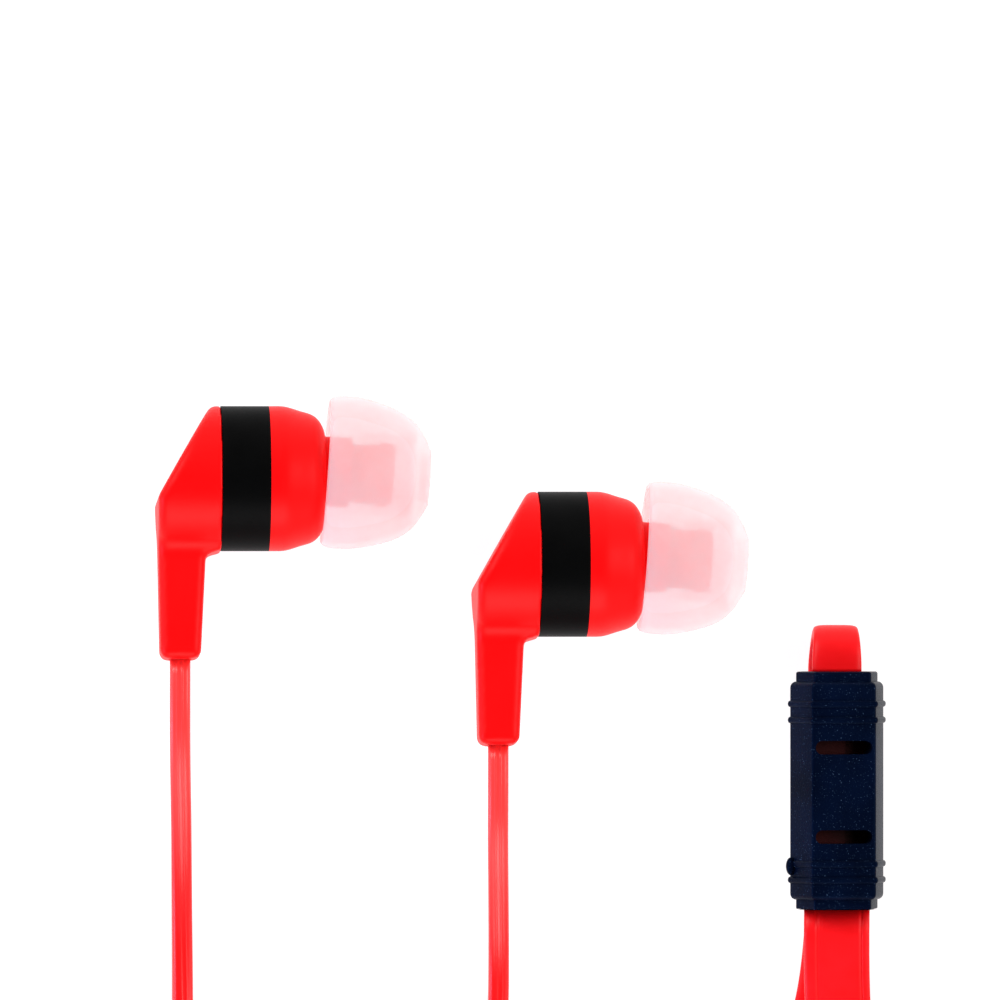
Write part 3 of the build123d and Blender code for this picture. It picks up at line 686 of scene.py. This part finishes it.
def cut_slot(piece, place, name):
    """Cut a round-ended slot down into a shell's panel."""
    length, width = SLOT_SIZE
    outline = []
    for end in (1, -1):
        for i in range(13):
            angle = math.pi * i / 12 - math.pi / 2
            outline.append((end * (length - width) / 2 + end * math.cos(angle) * width / 2,
                            end * math.sin(angle) * width / 2))
    count = len(outline)
    vertices = [place @ Vector((x, y, z)) * MM for z in (SLOT_FLOOR, 4) for x, y in outline]
    faces = [(j, (j + 1) % count, count + (j + 1) % count, count + j) for j in range(count)]
    faces += [tuple(range(count - 1, -1, -1)), tuple(range(count, 2 * count))]
    cutter = new_piece(name, vertices, faces)
    cut = piece.modifiers.new("slot", "BOOLEAN")
    cut.object, cut.operation, cut.solver = cutter, "DIFFERENCE", "EXACT"
    apply_modifiers(piece)
    bpy.data.objects.remove(cutter)


def add_catch(piece, place):
    """The small rounded catch at the joint of the two shells, beside the lower ribs."""
    form = bmesh.new()
    shape = Matrix.Scale(MM, 4) @ place @ Matrix.Translation(CATCH_PLACE) @ Matrix.Diagonal((*CATCH_SIZE, 1))
    bmesh.ops.create_icosphere(form, subdivisions=3, radius=1, matrix=shape)
    mesh = bpy.data.meshes.new("catch")
    form.to_mesh(mesh)
    form.free()
    catch = bpy.data.objects.new("catch", mesh)
    bpy.context.scene.collection.objects.link(catch)
    join = piece.modifiers.new("catch", "BOOLEAN")
    join.object, join.operation, join.solver = catch, "UNION", "EXACT"
    apply_modifiers(piece)
    bpy.data.objects.remove(catch)


def apply_modifiers(piece):
    """Replace a piece's mesh by what its modifiers make of it."""
    depsgraph = bpy.context.evaluated_depsgraph_get()
    mesh = bpy.data.meshes.new_from_object(piece.evaluated_get(depsgraph))
    piece.modifiers.clear()
    piece.data = mesh


# ---- studio -----------------------------------------------------------------------------------
VIEW_MIDDLE = (3.9, 5.7, 6.8)
VIEW_SIZE = 80.6
CAMERA_HEIGHT = 1000.0


def make_camera():
    """A long lens, straight down."""
    camera = bpy.data.cameras.new("camera")
    camera.sensor_width = 36
    camera.lens = 36 * CAMERA_HEIGHT / VIEW_SIZE
    camera.clip_start, camera.clip_end = 0.05, 10
    holder = bpy.data.objects.new("camera", camera)
    holder.location = Vector(VIEW_MIDDLE) * MM + UP * CAMERA_HEIGHT * MM
    bpy.context.scene.collection.objects.link(holder)
    bpy.context.scene.camera = holder


def area_light(name, at, towards, size, power, colour=(1, 1, 1)):
    """A soft box that faces a point."""
    light = bpy.data.lights.new(name, "AREA")
    light.shape = "SQUARE"
    light.size = size
    light.energy = power
    light.color = colour
    holder = bpy.data.objects.new(name, light)
    holder.location = at
    holder.rotation_mode = "QUATERNION"
    holder.rotation_quaternion = (Vector(towards) - Vector(at)).to_track_quat("-Z", "Y")
    bpy.context.scene.collection.objects.link(holder)


def make_studio():
    """A pale floor that glows softly, a sky that darkens overhead and four soft boxes."""
    floor = new_piece("floor", [(-3, -3, 0), (3, -3, 0), (3, 3, 0), (-3, 3, 0)], [(0, 1, 2, 3)])
    material, tree, principled, place = new_material("floor_white", Roughness=0.9)
    principled.inputs["Specular IOR Level"].default_value = 0.1
    cloud = noise(tree, place, 0.02)
    grey = colour_between(tree, cloud, (0.2, 0.2, 0.2), (0.22, 0.22, 0.22))
    tree.links.new(grey, principled.inputs["Base Color"])
    principled.inputs["Emission Color"].default_value = (1, 1, 1, 1)
    principled.inputs["Emission Strength"].default_value = 0.9
    dress(floor, material)
    world = bpy.data.worlds.new("studio")
    world.use_nodes = True
    tree = world.node_tree
    direction = shader(tree, "ShaderNodeTexCoord").outputs["Generated"]
    height = shader(tree, "ShaderNodeSeparateXYZ", {"Vector": direction}).outputs["Z"]
    ramp = shader(tree, "ShaderNodeValToRGB", {"Fac": height})
    sky = ramp.color_ramp.elements
    sky[0].position, sky[1].position = 0.545, 0.9
    sky[0].color, sky[1].color = (1, 1, 1, 1), (0.03, 0.03, 0.03, 1)
    sky.new(0.59).color = (0.36, 0.36, 0.36, 1)
    tree.links.new(ramp.outputs["Color"], tree.nodes["Background"].inputs["Color"])
    bpy.context.scene.world = world
    middle = (0.0, -0.03, 0.0)
    area_light("key", (-0.45, 0.4, 0.5), middle, 0.45, 3.8)
    area_light("fill", (0.6, 0.1, 0.45), middle, 0.45, 2.5)
    area_light("front", (0.05, -0.65, 0.4), middle, 0.4, 2.6)
    area_light("cool_side", (-0.6, -0.2, 0.2), middle, 0.3, 2.2, (0.25, 0.55, 1.0))
    bpy.context.scene.view_settings.view_transform = "Standard"


# ---- building ---------------------------------------------------------------------------------
make_camera()
make_studio()
materials = make_materials()
made = {
    "housing_red": [rear_shell(side) for side in ("left", "right")],
    "tip_silicone": [ear_tip(side) for side in ("left", "right")],
    "lead_red": [ear_lead(side) for side in ("left", "right")],
    "cable_red": [fork(), twin_ribbon(), main_cable()],
    "tie_black": straps(),
    "sleeve_black": [sleeve_half("sleeve_front", True), sleeve_half("sleeve_back", False)],
}
for slot, pieces in made.items():
    for piece in pieces:
        dress(piece, materials[slot])
for entry in frame["record"]["subparts"]:
    dress(nodes[entry["node"]], materials[entry["material_slot"]])
